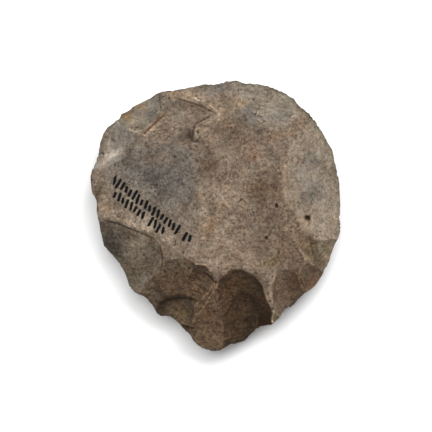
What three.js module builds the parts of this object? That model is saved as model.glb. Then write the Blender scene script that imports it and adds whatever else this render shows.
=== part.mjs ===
// A knapped flint hand axe, lying on its back face: a broad, rounded butt at +Y and a blunt tip at -Y.
// Millimetres, +Z up. The origin is under the middle of the outline, on the surface the stone lies on.
//
// The stone is worked the way it was made. A lens-shaped blank fills the outline, and each flake struck
// from its edge leaves a shallow hollow: an oval bowl whose depth is measured down from the blank. The
// face is whatever the deepest hollow leaves, so neighbouring hollows meet in sharp ridges by themselves.
import * as THREE from "three";
import { mergeVertices } from "three/addons/utils/BufferGeometryUtils.js";

// ---- Driving sizes ----
const EDGE_HEIGHT = 14; // the cutting edge lies about this far above the surface underneath
const FRONT_RISE = 14; // bulge of the blank's front above its rim
const BACK_RISE = 13; // bulge of the blank's back below its rim
const FRONT_FULLNESS = 2.6; // exponent of the bulge: higher is flatter in the middle
const BACK_FULLNESS = 2.4;
const RIM_HALF = 1.6; // half the blank's thickness at the outline
const EDGE_WIDTH = 1; // the two faces close on the cutting edge over this width
const WEDGE_SLOPE = 0.8; // the stone thickens inwards by at least this much per millimetre...
const WEDGE_WIDTH = 3; // ...up to this far from the edge
const REST_PLANE = 0; // the worn flat under the belly that the stone lies on

// Mesh fineness: each of the bipyramid's 12 faces becomes RINGS x RINGS triangles.
const RINGS = 28;
const SIDES = 6;

// ---- Plan ----
// How far the blank's edge lies from the middle, every 20 degrees round from the -X side by way of the tip.
const BLANK_RADII = [
  44, 43, 41.5, 42.5, 48, 48, 45, 43.5, 45, // -X side, tip
  46, 48, 50.5, 52.4, 51, 48.8, 50.2, 52.2, 49.4, // +X side, butt
];

// What the flaking left of that edge: bites out of it and, where the depth is negative, spurs between them.
const bite = (bearing, halfWidth, depth) => ({ bearing, halfWidth, depth }); // degrees, degrees, mm
const EDGE_BITES = [
  bite(-153, 12, 2.4), // one long bite low on the -X side
  bite(-129, 7.5, 1.3),
  bite(-109.5, 9.5, 3.4), // a deeper one where the side meets the tip
  bite(-101.5, 3, 0.8),
  bite(-91, 7.5, -1.7), // the blunt end of the tip
  bite(-70, 7, 1.8),
  bite(-54, 3.5, 1.1),
  bite(-34, 7, -1.3), // three spurs up the +X side
  bite(-25, 6, -0.6),
  bite(-7, 6, -0.9),
  bite(29, 4.5, -0.5),
  bite(52, 4, 0.5), // nibbling round the butt
  bite(77, 4.5, 0.6),
  bite(90, 4.5, 0.7),
  bite(114, 5, -0.8),
  bite(130, 2.5, 0.5),
  bite(136.5, 4, 0.8),
  bite(147.5, 3.5, 0.5),
  bite(154, 6.5, 1.4),
  bite(173, 3.5, 1),
];

// ---- Flake scars ----
// at: centre of the oval in plan. heading: degrees, the way the flake ran in from the edge. reach and
// half: half length along the heading and half width across it. depth: below the blank at the centre.
// wall: 2 is a smooth bowl, more is a flat floor that stops at a step. lean: above 0 deepens the far end.
const scar = (at, heading, reach, half, depth, wall = 2, lean = 0) => {
  return { at, heading, reach, half, depth, wall, lean };
};

const FRONT_SCARS = [
  scar([-27, 3], 0, 22.5, 32, 3.4, 2, -0.2), // the broad, gentle one down the -X side
  scar([45, 14], 180, 20.5, 24, 4.4), // its fellow down the +X side
  scar([-2, 47], -90, 11, 13, 2.6), // across the butt, -X half
  scar([20, 45], -95, 12.5, 12, 2.8), // across the butt, +X half
  scar([-15.5, 36], 10, 17, 9, 3.3, 3, 0.15), // below them on the -X side, ending in a step
  scar([-33, 45], -45, 15.3, 11.5, 3.8, 4), // the corner between butt and -X side
  scar([-43.5, 28.5], -12, 13.4, 11, 5.6, 3), // next round that side
  scar([-38, -18], 32, 22, 18.5, 5.8, 3), // towards the tip, large and deep
  scar([-20, -32], 56, 18.8, 15.5, 5.2, 3), // the -X side of the tip
  scar([-8.5, -27.5], 62, 9.6, 7.2, 4.4, 3), // the head of that one, where it bit deeper
  scar([-17, -38], 56, 12, 9, 7.4, 4), // and the second one struck inside it
  scar([-4, -41], 84, 18.5, 9, 5), // up the middle of the tip
  scar([12, -45.5], 99, 26, 10.8, 7, 3), // the +X side of the tip, the deepest
  scar([8, -31], 90, 11.6, 9.4, 4.6, 3), // and its broad head
  scar([16.5, -40], 110, 8, 6, 7), // second one inside it
  scar([27, -17], 95, 11, 5.5, 1.8), // an old one above the next three
  scar([28.5, -35], 100, 17, 7, 4, 3), // narrow ones up the +X side from the tip
  scar([38.5, -17], 128, 13.5, 4.2, 3.2),
  scar([38.5, -24], 140, 8.5, 7, 4.2),
  scar([42.5, -14.5], 170, 7.5, 6, 3.4),
  scar([6.5, -48], 90, 2.2, 3.5, 2.2), // chip out of the tip
  scar([22.3, -38], 150, 2.6, 2.4, 4.6), // chip beside it
];

const BACK_SCARS = [
  scar([42, 20], 200, 26, 15, 4.4),
  scar([30, 42], 240, 15, 11, 4, 2.4),
  scar([4, 50], 262, 26, 13, 4.6), // a long one from the middle of the butt
  scar([-22, 46], 300, 13, 11, 4.2, 2.6),
  scar([-42, 26], 328, 28, 12, 4.4),
  scar([-46, 2], 5, 16, 14, 4, 2.4),
  scar([-38, -22], 28, 26, 11, 4.4),
  scar([-20, -38], 66, 12, 9, 4.2, 2.8),
  scar([3, -50], 84, 28, 9, 4), // a long one from the tip
  scar([25, -38], 128, 15, 11, 4.4),
  scar([42, -20], 152, 30, 12, 4.6, 2.2),
  scar([46, 2], 182, 12, 9, 3.6),
  scar([-34, 38], 310, 6, 6, 4.6), // short ones that trim the edge
  scar([14, 49], 255, 6, 7, 4.8),
  scar([-40, -12], 20, 6, 6, 4.6),
  scar([33, -29], 140, 6, 6, 4.8),
];

// ---- Radii ----
const TURN = 360;
const SMOOTHING_TURNS = [-20, -10, 0, 10, 20];
const bearingOf = (x, y) => THREE.MathUtils.radToDeg(Math.atan2(y, x));

// Smooth curve through the blank's radii, read at any bearing from -180 to 180.
function blankRadius(bearing) {
  const count = BLANK_RADII.length;
  const u = ((bearing + TURN / 2) / TURN) * count;
  const k = Math.floor(u);
  const t = u - k;
  const [before, here, next, after] = [-1, 0, 1, 2].map((j) => BLANK_RADII[(k + j + count) % count]);
  const linear = next - before;
  const square = 2 * before - 5 * here + 4 * next - after;
  const cube = 3 * here - before - 3 * next + after;
  return here + 0.5 * t * (linear + t * (square + t * cube));
}

function edgeRadius(bearing) {
  const bitten = EDGE_BITES.reduce((sum, b) => {
    const off = THREE.MathUtils.euclideanModulo(bearing - b.bearing + TURN / 2, TURN) - TURN / 2;
    const share = off / b.halfWidth;
    return Math.abs(share) < 1 ? sum + b.depth * (1 - share * share) : sum;
  }, 0);
  return blankRadius(bearing) - bitten;
}

// ---- The two faces ----
// The blank's radius averaged over a few bearings on either side, so that its bulge has no creases.
function evenRadius(bearing) {
  const near = SMOOTHING_TURNS.map((turn) => {
    return blankRadius(THREE.MathUtils.euclideanModulo(bearing + turn + TURN / 2, TURN) - TURN / 2);
  });
  return near.reduce((sum, radius) => sum + radius, 0) / near.length;
}

// Height of the blank's face above the plane of the edge.
function blankBulge(x, y, rise, fullness) {
  const share = Math.hypot(x, y) / evenRadius(bearingOf(x, y));
  return RIM_HALF + rise * (1 - share ** fullness);
}

// How deep one scar lies below the blank at a point in plan.
function hollow({ at, heading, reach, half, depth, wall, lean }, x, y) {
  const turn = THREE.MathUtils.degToRad(heading);
  const dx = x - at[0];
  const dy = y - at[1];
  const along = (dx * Math.cos(turn) + dy * Math.sin(turn)) / reach;
  const across = (dy * Math.cos(turn) - dx * Math.sin(turn)) / half;
  const share = Math.hypot(along, across);
  return share < 1 ? depth * (1 - share ** wall) * (1 + lean * along) : 0;
}

const deepest = (scars, x, y) => Math.max(0, ...scars.map((s) => hollow(s, x, y)));

// Heights of the front and the back at a point that lies `inset` millimetres inside the edge.
function faces(x, y, inset) {
  const front = EDGE_HEIGHT + blankBulge(x, y, FRONT_RISE, FRONT_FULLNESS) - deepest(FRONT_SCARS, x, y);
  const worked = EDGE_HEIGHT - blankBulge(x, y, BACK_RISE, BACK_FULLNESS) + deepest(BACK_SCARS, x, y);
  const wedge = WEDGE_SLOPE * THREE.MathUtils.clamp(inset, 0.2, WEDGE_WIDTH);
  const back = Math.min(Math.max(worked, REST_PLANE), front - wedge);
  const edge = (front + back) / 2;
  const opening = Math.sqrt(THREE.MathUtils.clamp(inset / EDGE_WIDTH, 0, 1));
  return { front: edge + (front - edge) * opening, back: edge + (back - edge) * opening };
}

// ---- The solid ----
// A six-sided bipyramid with its rim in the XY plane, each face divided into RINGS x RINGS triangles.
function bipyramid() {
  const corners = [0, 0, 1, 0, 0, -1];
  const triangles = [];
  for (let k = 0; k < SIDES; k++) {
    const angle = (2 * Math.PI * k) / SIDES;
    corners.push(Math.cos(angle), Math.sin(angle), 0);
    const here = 2 + k;
    const next = 2 + ((k + 1) % SIDES);
    triangles.push(0, here, next, 1, next, here);
  }
  const geometry = new THREE.PolyhedronGeometry(corners, triangles, 1, RINGS - 1);
  geometry.deleteAttribute("normal");
  geometry.deleteAttribute("uv");
  return mergeVertices(geometry, 1e-5);
}

// PolyhedronGeometry rounds the bipyramid to a ball. This finds where a point of the ball came from:
// ring runs from 0 at a pole to 1 at the rim, and bearing spaces the ring's points evenly.
function ringAndBearing(point) {
  const sector = (2 * Math.PI) / SIDES;
  const angle = THREE.MathUtils.euclideanModulo(Math.atan2(point.y, point.x), 2 * Math.PI);
  const side = Math.floor(angle / sector + 1e-6);
  const offCentre = angle - (side + 0.5) * sector;
  const flat = Math.hypot(point.x, point.y);
  const hexagonal = (flat * Math.cos(offCentre)) / Math.cos(sector / 2);
  const share = 0.5 + Math.tan(offCentre) / (2 * Math.tan(sector / 2));
  return { ring: hexagonal / (hexagonal + Math.abs(point.z)), bearing: (side + share) * sector };
}

function handAxe() {
  const geometry = bipyramid();
  const position = geometry.attributes.position;
  const point = new THREE.Vector3();
  for (let i = 0; i < position.count; i++) {
    point.fromBufferAttribute(position, i);
    const { ring, bearing } = ringAndBearing(point);
    const towards = new THREE.Vector2(Math.cos(bearing), Math.sin(bearing));
    const edge = edgeRadius(bearingOf(towards.x, towards.y));
    const { x, y } = towards.multiplyScalar(ring * edge);
    const { front, back } = faces(x, y, (1 - ring) * edge);
    position.setXYZ(i, x, y, point.z >= 0 ? front : back);
  }
  geometry.computeBoundingBox();
  const centre = geometry.boundingBox.getCenter(new THREE.Vector3());
  geometry.translate(-centre.x, -centre.y, 0);
  geometry.computeVertexNormals();

  const flint = new THREE.MeshStandardMaterial({ color: 0x7c6b5a, roughness: 0.72, metalness: 0 });
  const mesh = new THREE.Mesh(geometry, flint);
  mesh.name = "hand_axe";
  return mesh;
}

const group = new THREE.Group();
group.add(handAxe());
export default group;
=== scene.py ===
# %% [markdown]
# # A stone hand axe in Blender
# A hand axe is one piece of flint, flaked all over from its edge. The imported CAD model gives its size,
# its outline and its large flake scars. This lesson makes the surface that is seen: the same scars on a
# much finer mesh, with the ripples, pits and worn ridges of real flint, and a stone material.

import math

import bpy
import numpy as np
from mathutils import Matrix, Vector


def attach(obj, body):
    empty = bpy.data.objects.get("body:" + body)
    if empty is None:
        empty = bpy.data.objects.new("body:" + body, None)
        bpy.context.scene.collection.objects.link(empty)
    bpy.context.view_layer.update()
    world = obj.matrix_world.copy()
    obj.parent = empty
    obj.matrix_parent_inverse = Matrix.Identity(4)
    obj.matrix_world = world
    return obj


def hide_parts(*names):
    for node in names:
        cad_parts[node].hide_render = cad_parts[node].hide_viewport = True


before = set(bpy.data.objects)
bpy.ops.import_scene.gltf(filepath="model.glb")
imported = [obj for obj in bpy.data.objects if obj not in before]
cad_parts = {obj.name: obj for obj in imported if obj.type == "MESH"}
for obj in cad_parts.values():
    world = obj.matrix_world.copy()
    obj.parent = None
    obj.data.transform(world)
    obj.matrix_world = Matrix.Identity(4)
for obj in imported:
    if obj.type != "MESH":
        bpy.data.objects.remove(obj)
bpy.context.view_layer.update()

MM = 0.001

# %% [markdown]
# ## The camera
# The stone lies on its back face on a table, and the camera looks straight down on it through a long lens.
# A long lens far away keeps the sides of the stone out of view, so the outline shows at its true size.
# The camera aims at the point that the blank's radii are measured from, set further down.

# %% Camera
VIEW_WIDTH = 159.84 * MM
CAMERA_HEIGHT = 1.6
MIDDLE_HEIGHT = 0.018
SENSOR_WIDTH = 36
FURTHEST_SEEN = 10

camera_data = bpy.data.cameras.new("camera")
camera = bpy.data.objects.new("camera", camera_data)
bpy.context.scene.collection.objects.link(camera)
camera_data.sensor_width = SENSOR_WIDTH
camera_data.lens = SENSOR_WIDTH * (CAMERA_HEIGHT - MIDDLE_HEIGHT) / VIEW_WIDTH
camera_data.clip_end = FURTHEST_SEEN
camera.location = (0, 0, CAMERA_HEIGHT)
bpy.context.scene.camera = camera
print("lens, mm:", round(camera_data.lens, 1))

# %% [markdown]
# ## The plan of the stone
# Seen from above the stone is a rounded butt with a blunt tip, and its edge is nibbled all round. The edge
# could be drawn point by point, but it is easier to change when it is described: the blank's radius every
# 20 degrees, with a smooth curve between, then the bites that flaking took out of it and the spurs it left.
# Fine use-wear nibbled the edge as well: a row of shallow scallops, stretched here and squeezed there.
# Everything in these cells is in millimetres, and becomes metres when it goes into the mesh.

# %% Plan sizes
BLANK_RADII = np.array([
    44, 43, 41.5, 42.5, 48, 48, 45, 43.5, 45,  # -X side, tip
    46, 48, 50.5, 52.4, 51, 48.8, 50.2, 52.2, 49.4,  # +X side, butt
])

# bearing and half width in degrees, depth in mm: a depth below zero is a spur
EDGE_BITES = [
    (-153, 12, 2.4), (-129, 7.5, 1.3), (-109.5, 9.5, 3.4), (-101.5, 3, 0.8), (-91, 7.5, -1.7),
    (-70, 7, 1.8), (-54, 3.5, 1.1), (-34, 7, -1.3), (-25, 6, -0.6), (-7, 6, -0.9), (29, 4.5, -0.5),
    (52, 4, 0.5), (77, 4.5, 0.6), (90, 4.5, 0.7), (114, 5, -0.8), (130, 2.5, 0.5), (136.5, 4, 0.8),
    (147.5, 3.5, 0.5), (154, 6.5, 1.4), (173, 3.5, 1),
]


def blank_radius(bearing):
    """Smooth curve through the blank's radii, for bearings in degrees from -180 to 180."""
    count = len(BLANK_RADII)
    u = (bearing + 180) / 360 * count
    k = np.floor(u).astype(int)
    t = u - k
    before, here, ahead, after = (BLANK_RADII[(k + j) % count] for j in (-1, 0, 1, 2))
    linear = ahead - before
    square = 2 * before - 5 * here + 4 * ahead - after
    cube = 3 * here - before - 3 * ahead + after
    return here + 0.5 * t * (linear + t * (square + t * cube))


def edge_radius(bearing):
    """The blank's radius less the bites."""
    radius = blank_radius(bearing)
    for at, half_width, depth in EDGE_BITES:
        share = ((bearing - at + 180) % 360 - 180) / half_width
        radius = radius - np.where(abs(share) < 1, depth * (1 - share**2), 0)
    return radius


length = float(edge_radius(np.array([90.0]))[0] + edge_radius(np.array([-90.0]))[0])
print("length of the plan, mm:", round(length, 1))

# %% Nibbled edge
NIBBLE_COUNT = 88
NIBBLE_DEPTH = 0.45  # mm
NIBBLE_STRETCH = [(1.6, 7, 0), (1.1, 16, 40)]  # scallops moved, waves round the edge, start in degrees
SCRAMBLE = 43758.5453


def scrambled(number):
    """A fixed pseudo-random value from 0 to 1 for each number."""
    value = np.sin(number) * SCRAMBLE
    return value - np.floor(value)


def nibbled_radius(bearing):
    """The edge with small scallops bitten out of it side by side, no two of the same depth."""
    waves = [size * np.sin(np.radians(count * bearing + start)) for size, count, start in NIBBLE_STRETCH]
    stretch = sum(waves)
    u = (bearing + 180) / 360 * NIBBLE_COUNT + stretch
    cell = np.floor(u) % NIBBLE_COUNT
    scallop = 1 - (2 * (u - np.floor(u)) - 1) ** 2
    return edge_radius(bearing) - NIBBLE_DEPTH * scrambled(cell * 127.1 + 9.2) * scallop


print(NIBBLE_COUNT, "scallops round the edge, up to", NIBBLE_DEPTH, "mm deep")

# %% [markdown]
# ## Noise
# Flint breaks along curves that are never quite regular, so every shape below is disturbed a little. The
# disturbance has to be the same on each run: `grain_noise` puts a fixed pseudo-random value on each corner
# of a square grid and blends between them, and `layered_noise` adds finer copies on top.

# %% Noise in the plane
def grain_noise(x, y, size, seed):
    """Smooth noise from -1 to 1 with lumps about `size` mm across."""
    u, v = x / size + 100, y / size + 100
    i, j = np.floor(u), np.floor(v)
    s, t = u - i, v - j
    s, t = s * s * (3 - 2 * s), t * t * (3 - 2 * t)

    def corner(a, b):
        return scrambled(a * 127.1 + b * 311.7 + seed * 74.7)

    low = corner(i, j) * (1 - s) + corner(i + 1, j) * s
    high = corner(i, j + 1) * (1 - s) + corner(i + 1, j + 1) * s
    return 2 * (low * (1 - t) + high * t) - 1


def layered_noise(x, y, size, seed, layers=3):
    """Noise with finer, weaker copies of itself on top."""
    total, weight = 0, 1
    for k in range(layers):
        # each layer is turned, so that the grids' rows don't line up
        turn = 0.6 + 1.1 * k
        u, v = x * math.cos(turn) - y * math.sin(turn), x * math.sin(turn) + y * math.cos(turn)
        total = total + weight * grain_noise(u, v, size / 2**k, seed + 17 * k)
        weight /= 2
    return total


# %% [markdown]
# ## The flake scars
# Each flake struck from the edge left a shallow oval hollow, and where two hollows meet there is a ridge.
# Cutting the blank with boolean ovals would do it, but leaves slivers and ragged shading along every ridge.
# Here a hollow is a depth measured down from the blank, and at each point the deepest hollow wins. A small
# rounding where two depths are nearly equal gives the ridges the wear that they have on an old stone.
#
# Each scar has: centre (mm), heading (degrees, the way the flake ran), half length, half width, depth, wall
# (2 is a smooth bowl, more is a flat floor that ends in a step), lean (above 0 deepens the far end), ripple
# height and ripple spacing.

# %% Scars on the front

FRONT_SCARS = {
    "left": (-27, 3, 0, 22.5, 32, 3.4, 2, -0.2, 0.04, 6),
    "right": (45, 14, 180, 20.5, 24, 4.4, 2, 0, 0.02, 5),
    "butt_left": (-2, 47, -90, 11, 13, 2.6, 2, 0, 0.05, 3),
    "butt_right": (20, 45, -95, 12.5, 12, 2.8, 2, 0, 0.02, 3.2),
    "upper": (-15.5, 36, 10, 17, 9, 3.3, 3, 0.15, 0.05, 3.2),
    "upper_left": (-33, 45, -45, 16.6, 11.5, 3.8, 7, 0, 0.02, 3),
    "left_shoulder": (-43.5, 28.5, -12, 13.4, 11, 5.6, 3, 0, 0.03, 3),
    "lower_left": (-38, -18, 32, 21.4, 18, 5.4, 5, 0, 0.05, 4),
    "tip_left": (-20, -32, 56, 18.8, 15.5, 5.2, 3, 0, 0.09, 2.9),
    "tip_left_head": (-8.5, -27.5, 62, 9.6, 7.2, 4.4, 3, 0, 0.06, 2),
    "tip_left_inner": (-17, -38, 56, 12, 9, 7.4, 5, 0, 0.04, 2.2),
    "tip_middle": (-4, -41, 84, 18.5, 9, 5, 2, 0, 0.05, 2.6),
    "tip_right": (12, -45.5, 99, 26, 10.8, 7, 3, 0, 0.10, 3.2),
    "tip_right_head": (8.4, -31, 90, 11.4, 9.9, 4.6, 4, 0, 0.05, 3.2),
    "tip_right_inner": (16.5, -40, 110, 8, 6, 7, 2, 0, 0.03, 3),
    "low_right_old": (27, -17, 95, 11, 5.5, 1.8, 2, 0, 0.03, 3),
    "low_right_a": (28.5, -35, 100, 17, 7, 4, 3, 0, 0.03, 3),
    "low_right_b": (38.5, -17, 128, 13.5, 4.2, 3.2, 2, 0, 0.03, 2.5),
    "low_right_d": (38.5, -24, 140, 8.5, 7, 4.2, 2, 0, 0.03, 3),
    "low_right_c": (42.5, -14.5, 170, 7.5, 6, 3.4, 2, 0, 0.03, 3),
    "tip_chip": (6.5, -48, 90, 2.2, 3.5, 2.2, 2, 0, 0, 1),
    "corner_chip": (22.3, -38, 150, 2.6, 2.4, 4.6, 2, 0, 0, 1),
}

BACK_SCARS = {
    "back_right": (42, 20, 200, 26, 15, 4.4, 2, 0, 0.05, 4),
    "back_butt_right": (30, 42, 240, 15, 11, 4, 2.4, 0, 0.05, 3),
    "back_butt": (4, 50, 262, 26, 13, 4.6, 2, 0, 0.05, 4),
    "back_butt_left": (-22, 46, 300, 13, 11, 4.2, 2.6, 0, 0.05, 3),
    "back_shoulder": (-42, 26, 328, 28, 12, 4.4, 2, 0, 0.04, 4),
    "back_left": (-46, 2, 5, 16, 14, 4, 2.4, 0, 0.05, 4),
    "back_lower_left": (-38, -22, 28, 26, 11, 4.4, 2, 0, 0.04, 4),
    "back_tip_left": (-20, -38, 66, 12, 9, 4.2, 2.8, 0, 0.06, 3),
    "back_tip": (3, -50, 84, 28, 9, 4, 2, 0, 0.04, 4),
    "back_tip_right": (25, -38, 128, 15, 11, 4.4, 2, 0, 0.05, 3),
    "back_lower_right": (42, -20, 152, 30, 12, 4.6, 2.2, 0, 0.04, 4),
    "back_middle_right": (46, 2, 182, 12, 9, 3.6, 2, 0, 0.04, 3),
    "back_trim_a": (-34, 38, 310, 6, 6, 4.6, 2, 0, 0.02, 2),
    "back_trim_b": (14, 49, 255, 6, 7, 4.8, 2, 0, 0.02, 2),
    "back_trim_c": (-40, -12, 20, 6, 6, 4.6, 2, 0, 0.02, 2),
    "back_trim_d": (33, -29, 140, 6, 6, 4.8, 2, 0, 0.02, 2),
}
print(len(FRONT_SCARS), "scars on the front,", len(BACK_SCARS), "on the back")


# %% One hollow
RIDGE_ROUNDING = 0.12  # mm
RIPPLE_WANDER = 1.3  # radians


def hollow(scar, x, y):
    """Depth of a scar below the blank: above 0 inside it and below 0 outside, so that it can be rounded."""
    cx, cy, heading, reach, half, depth, wall, lean, ripple, spacing = scar
    turn = math.radians(heading)
    dx, dy = x - cx, y - cy
    along = (dx * math.cos(turn) + dy * math.sin(turn)) / reach
    across = (dy * math.cos(turn) - dx * math.sin(turn)) / half
    share = np.hypot(along, across)
    shape = np.where(share < 1, 1 - share**wall, wall * (1 - share))
    # ripples spread from the point that was struck, and die out before the rim of the scar
    from_blow = np.hypot((along + 1) * reach, across * half)
    drift = RIPPLE_WANDER * grain_noise(x, y, 9, heading + cx)
    waves = np.sin(2 * math.pi * from_blow / spacing + drift) * ripple * np.clip(2 - 2 * share, 0, 1)
    return depth * shape * (1 + lean * along) + waves


def rounded_max(a, b, rounding):
    """The larger of two depths, with the corner between them rounded."""
    overlap = np.clip(rounding - abs(a - b), 0, None)
    return np.maximum(a, b) + overlap**2 / (4 * rounding)


def deepest(scars, x, y):
    """Depth of the deepest scar at each point, and which scar it is: 0 is the untouched blank."""
    depth = np.zeros_like(x)
    winner = np.zeros(len(x), int)
    best = np.zeros_like(x)
    for number, scar in enumerate(scars.values(), start=1):
        this = hollow(scar, x, y)
        winner = np.where(this > best, number, winner)
        best = np.maximum(best, this)
        depth = rounded_max(depth, this, RIDGE_ROUNDING)
    return depth, winner


# %% [markdown]
# ## Small damage
# Besides the big scars the edge is crushed and trimmed by dozens of tiny chips, some flakes stopped short
# and left a low step or a few ripple rings, and the skin has pits. Sculpting these would be slow to repeat,
# so each kind is a short formula. A named pit is a small bowl drawn out of round, and the nameless pores are
# the peaks of a fine noise. The chips' places come from a numbered generator, the same each time.

# %% Pits
NAMED_PITS = [  # x, y, radius, depth
    (34, -0.7, 1.3, 1.3), (22.3, 3.8, 0.8, 0.6), (18.5, -8, 0.9, 0.5), (24.5, -10.3, 0.6, 0.3),
    (23.5, -12, 0.6, 0.3), (23.3, -13.5, 0.6, 0.3), (-24, 10, 0.6, 0.3), (-22.5, 11, 0.6, 0.3),
    (-20.8, 11.3, 0.6, 0.3), (-18.5, 12.5, 0.6, 0.3), (-14.2, 12.5, 0.5, 0.3), (-15, 22, 0.8, 0.35),
    (-21.8, 23.3, 0.6, 0.3), (-25.7, 26.8, 0.6, 0.3), (-37.3, 19.2, 0.6, 0.3), (-6.7, 30.8, 0.8, 0.5),
    (-42, 23.3, 0.7, 0.4), (-19.3, 44.2, 0.6, 0.4), (-3.5, 36.5, 0.6, 0.4), (-26.5, -14.3, 0.7, 0.4),
    (30, 5, 0.6, 0.3), (0.5, 20, 0.7, 0.3), (14, 21.5, 0.6, 0.3), (5.3, 32.5, 0.7, 0.3),
    (-7, 20.3, 0.6, 0.3),
]
PIT_RAGGED = 0.45  # mm
PIT_RAGGED_SIZE = 1.1


def bowls(x, y, pits):
    """Summed depth of small pits. Noise draws them out of round."""
    depth = np.zeros_like(x)
    ragged_x = x + PIT_RAGGED * grain_noise(x, y, PIT_RAGGED_SIZE, 91)
    ragged_y = y + PIT_RAGGED * grain_noise(x, y, PIT_RAGGED_SIZE, 92)
    for cx, cy, radius, deep in pits:
        share = np.hypot(ragged_x - cx, ragged_y - cy) / radius
        depth += np.where(share < 1, deep * (1 - share**2) ** 2, 0)
    return depth


print(len(NAMED_PITS), "named pits")

# %% Ripple rings
# centre x, y and radius of each ring in mm, the bearings it runs between in degrees, height and width in mm
RIPPLES = [
    (-26, 62, 30.1, -90, -52, 0.16, 0.45), (-26, 62, 31.3, -86, -60, 0.14, 0.4),
    (-26, 62, 32.4, -84, -62, 0.12, 0.4),
    (18, 75, 33.5, -102, -74, 0.2, 0.5), (18, 75, 35.2, -98, -80, -0.15, 0.6),
    (18, 50, 12.3, -118, -66, 0.2, 0.45), (18, 50, 9.8, -115, -70, 0.12, 0.5),
]


def rings(x, y, ripples):
    """Height of the ripple rings: each is a low rounded wave on part of a circle, fading at both ends."""
    height = np.zeros_like(x)
    for cx, cy, radius, first, last, high, width in ripples:
        bearing = np.degrees(np.arctan2(y - cy, x - cx))
        part = (bearing - first) / (last - first)
        fade = np.clip(6 * np.minimum(part, 1 - part), 0, 1)
        height += high * fade * np.exp(-(((np.hypot(x - cx, y - cy) - radius) / width) ** 2))
    return height


print(len(RIPPLES), "ripple rings")

# %% Low steps and cracks
# Where a flake stopped short or a crack runs in: from x, y to x, y, bow to the left, rise of the left side,
# and the distance over which the rise dies away, all in mm. Last is how much of a crack there is.
STEPS = [
    (-18, 38.2, -26.8, 29.8, 0, 0.9, 4, 0.8),  # foot of the upper left scar
    (-20.4, 45.4, -19.9, 39.3, 0, 0.5, 2, 1),
    (-2, 36.6, -8, 33, 0, 0.8, 3, 1.1),  # stepped end of the upper scar
    (-7.2, 33.6, -8.3, 27.6, -0.3, 1.9, 4, 1),
    (9.7, 34.6, 1.7, 33.7, 0.3, 0.4, 3, 0),
    (-16.5, 44.2, 1.5, 37.4, 0.6, 0.6, 3, 0.1),  # ridge over the upper scar
    (-42.5, -1, -21, -9, 0.9, 0.55, 4, 0.6),  # rim of the lower left scar
    (-21.6, -8.2, -20, -20.5, 1.4, 0.5, 2, 0.7),
    (-22.5, -32.6, -6, -31.2, 1.9, 1.3, 3, 0.5),  # head of the inner scar on the left of the tip
    (0.2, -24.8, -8.6, -38.8, 0.3, 0.6, 3, 0.3),  # ridge down the left of the tip
    (-4, -20.4, 0.6, -24.6, 0, 1.1, 2.5, 1.3),
    (-10.5, -22.2, -3.6, -24.6, 0.5, 0.35, 2, 0.7),
    (-10.2, -24.4, -4.2, -26.6, 0.5, 0.3, 2, 0.6),
    (-9.8, -26.8, -4.6, -28.8, 0.4, 0.35, 2, 0.8),
    (-13.5, -39.9, -7.6, -41.5, 0, 0.8, 2, 1.3),
    (2.5, -46.2, 6, -45, 0, 0.4, 2, 0.8),
    (30.2, -19.2, 33.4, -26.1, -0.4, 0.6, 2.5, 0),  # arrises low on the right
    (27.9, -8.1, 36, -17.6, -1, 0.5, 2, 0),
    (36.6, -16.5, 34.2, -8.5, 0.3, 0.5, 3, 0),
    (21.8, -3.9, 17, -10.7, 0.3, 0.3, 2, 0.6),
    (9.7, -37.4, 8.5, -41.7, 0, 0.25, 2, 0.5),
]
STEP_WIDTH = 0.3
CRACK_DEPTH, CRACK_OFFSET, CRACK_WIDTH = 0.5, 0.45, 0.4


def scarps(x, y, steps):
    """Height of the low steps: a sharp rise, with a groove where there is a crack, tapering at both ends."""
    height = np.zeros_like(x)
    for x0, y0, x1, y1, bow, rise, fade, crack in steps:
        dx, dy = x1 - x0, y1 - y0
        length = math.hypot(dx, dy)
        share = ((x - x0) * dx + (y - y0) * dy) / length**2
        left = ((y - y0) * dx - (x - x0) * dy) / length - bow * 4 * share * (1 - share)
        taper = np.clip(5 * np.minimum(share, 1 - share), 0, 1)
        lifted = 0.5 * (1 + np.tanh(left / STEP_WIDTH)) * np.exp(-np.clip(left, 0, None) / fade)
        groove = CRACK_DEPTH * crack * np.exp(-(((left + CRACK_OFFSET) / CRACK_WIDTH) ** 2))
        height += rise * taper * (lifted - groove)
    return height


print(len(STEPS), "low steps")

# %% Pores and edge chips
PORE_SIZE = 1.3
DEEPEST_PORE = 0.5


def pores(x, y, threshold, seed):
    """Irregular small holes wherever fine noise peaks, crowded in some places and absent in others."""
    crowding = 0.12 * layered_noise(x, y, 9, seed + 2, 2)
    return np.clip(layered_noise(x, y, PORE_SIZE, seed, 2) + crowding - threshold, 0, DEEPEST_PORE)


def trimming_chips(seed, count):
    """Tiny chips round the edge: place, bearing, half length, half width and depth of each."""
    rng = np.random.default_rng(seed)
    chips = []
    for _ in range(count):
        bearing = rng.uniform(-180, 180)
        edge = float(edge_radius(np.array([bearing]))[0])
        turn = math.radians(bearing)
        size = rng.uniform(1.0, 2.6), rng.uniform(1.4, 4.0), rng.uniform(0.15, 0.5)
        chips.append((edge * math.cos(turn), edge * math.sin(turn), turn, *size))
    return chips


def edge_chips(x, y, chips):
    """Depth of the deepest chip at each point."""
    depth = np.zeros_like(x)
    for cx, cy, turn, reach, half, deep in chips:
        along = ((x - cx) * math.cos(turn) + (y - cy) * math.sin(turn)) / reach
        across = ((y - cy) * math.cos(turn) - (x - cx) * math.sin(turn)) / half
        depth = np.maximum(depth, deep * (1 - along**2 - across**2))
    return depth


FRONT_CHIPS, BACK_CHIPS = trimming_chips(5, 46), trimming_chips(15, 60)
print(len(FRONT_CHIPS), "chips along the front's edge,", len(BACK_CHIPS), "along the back's")

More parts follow.
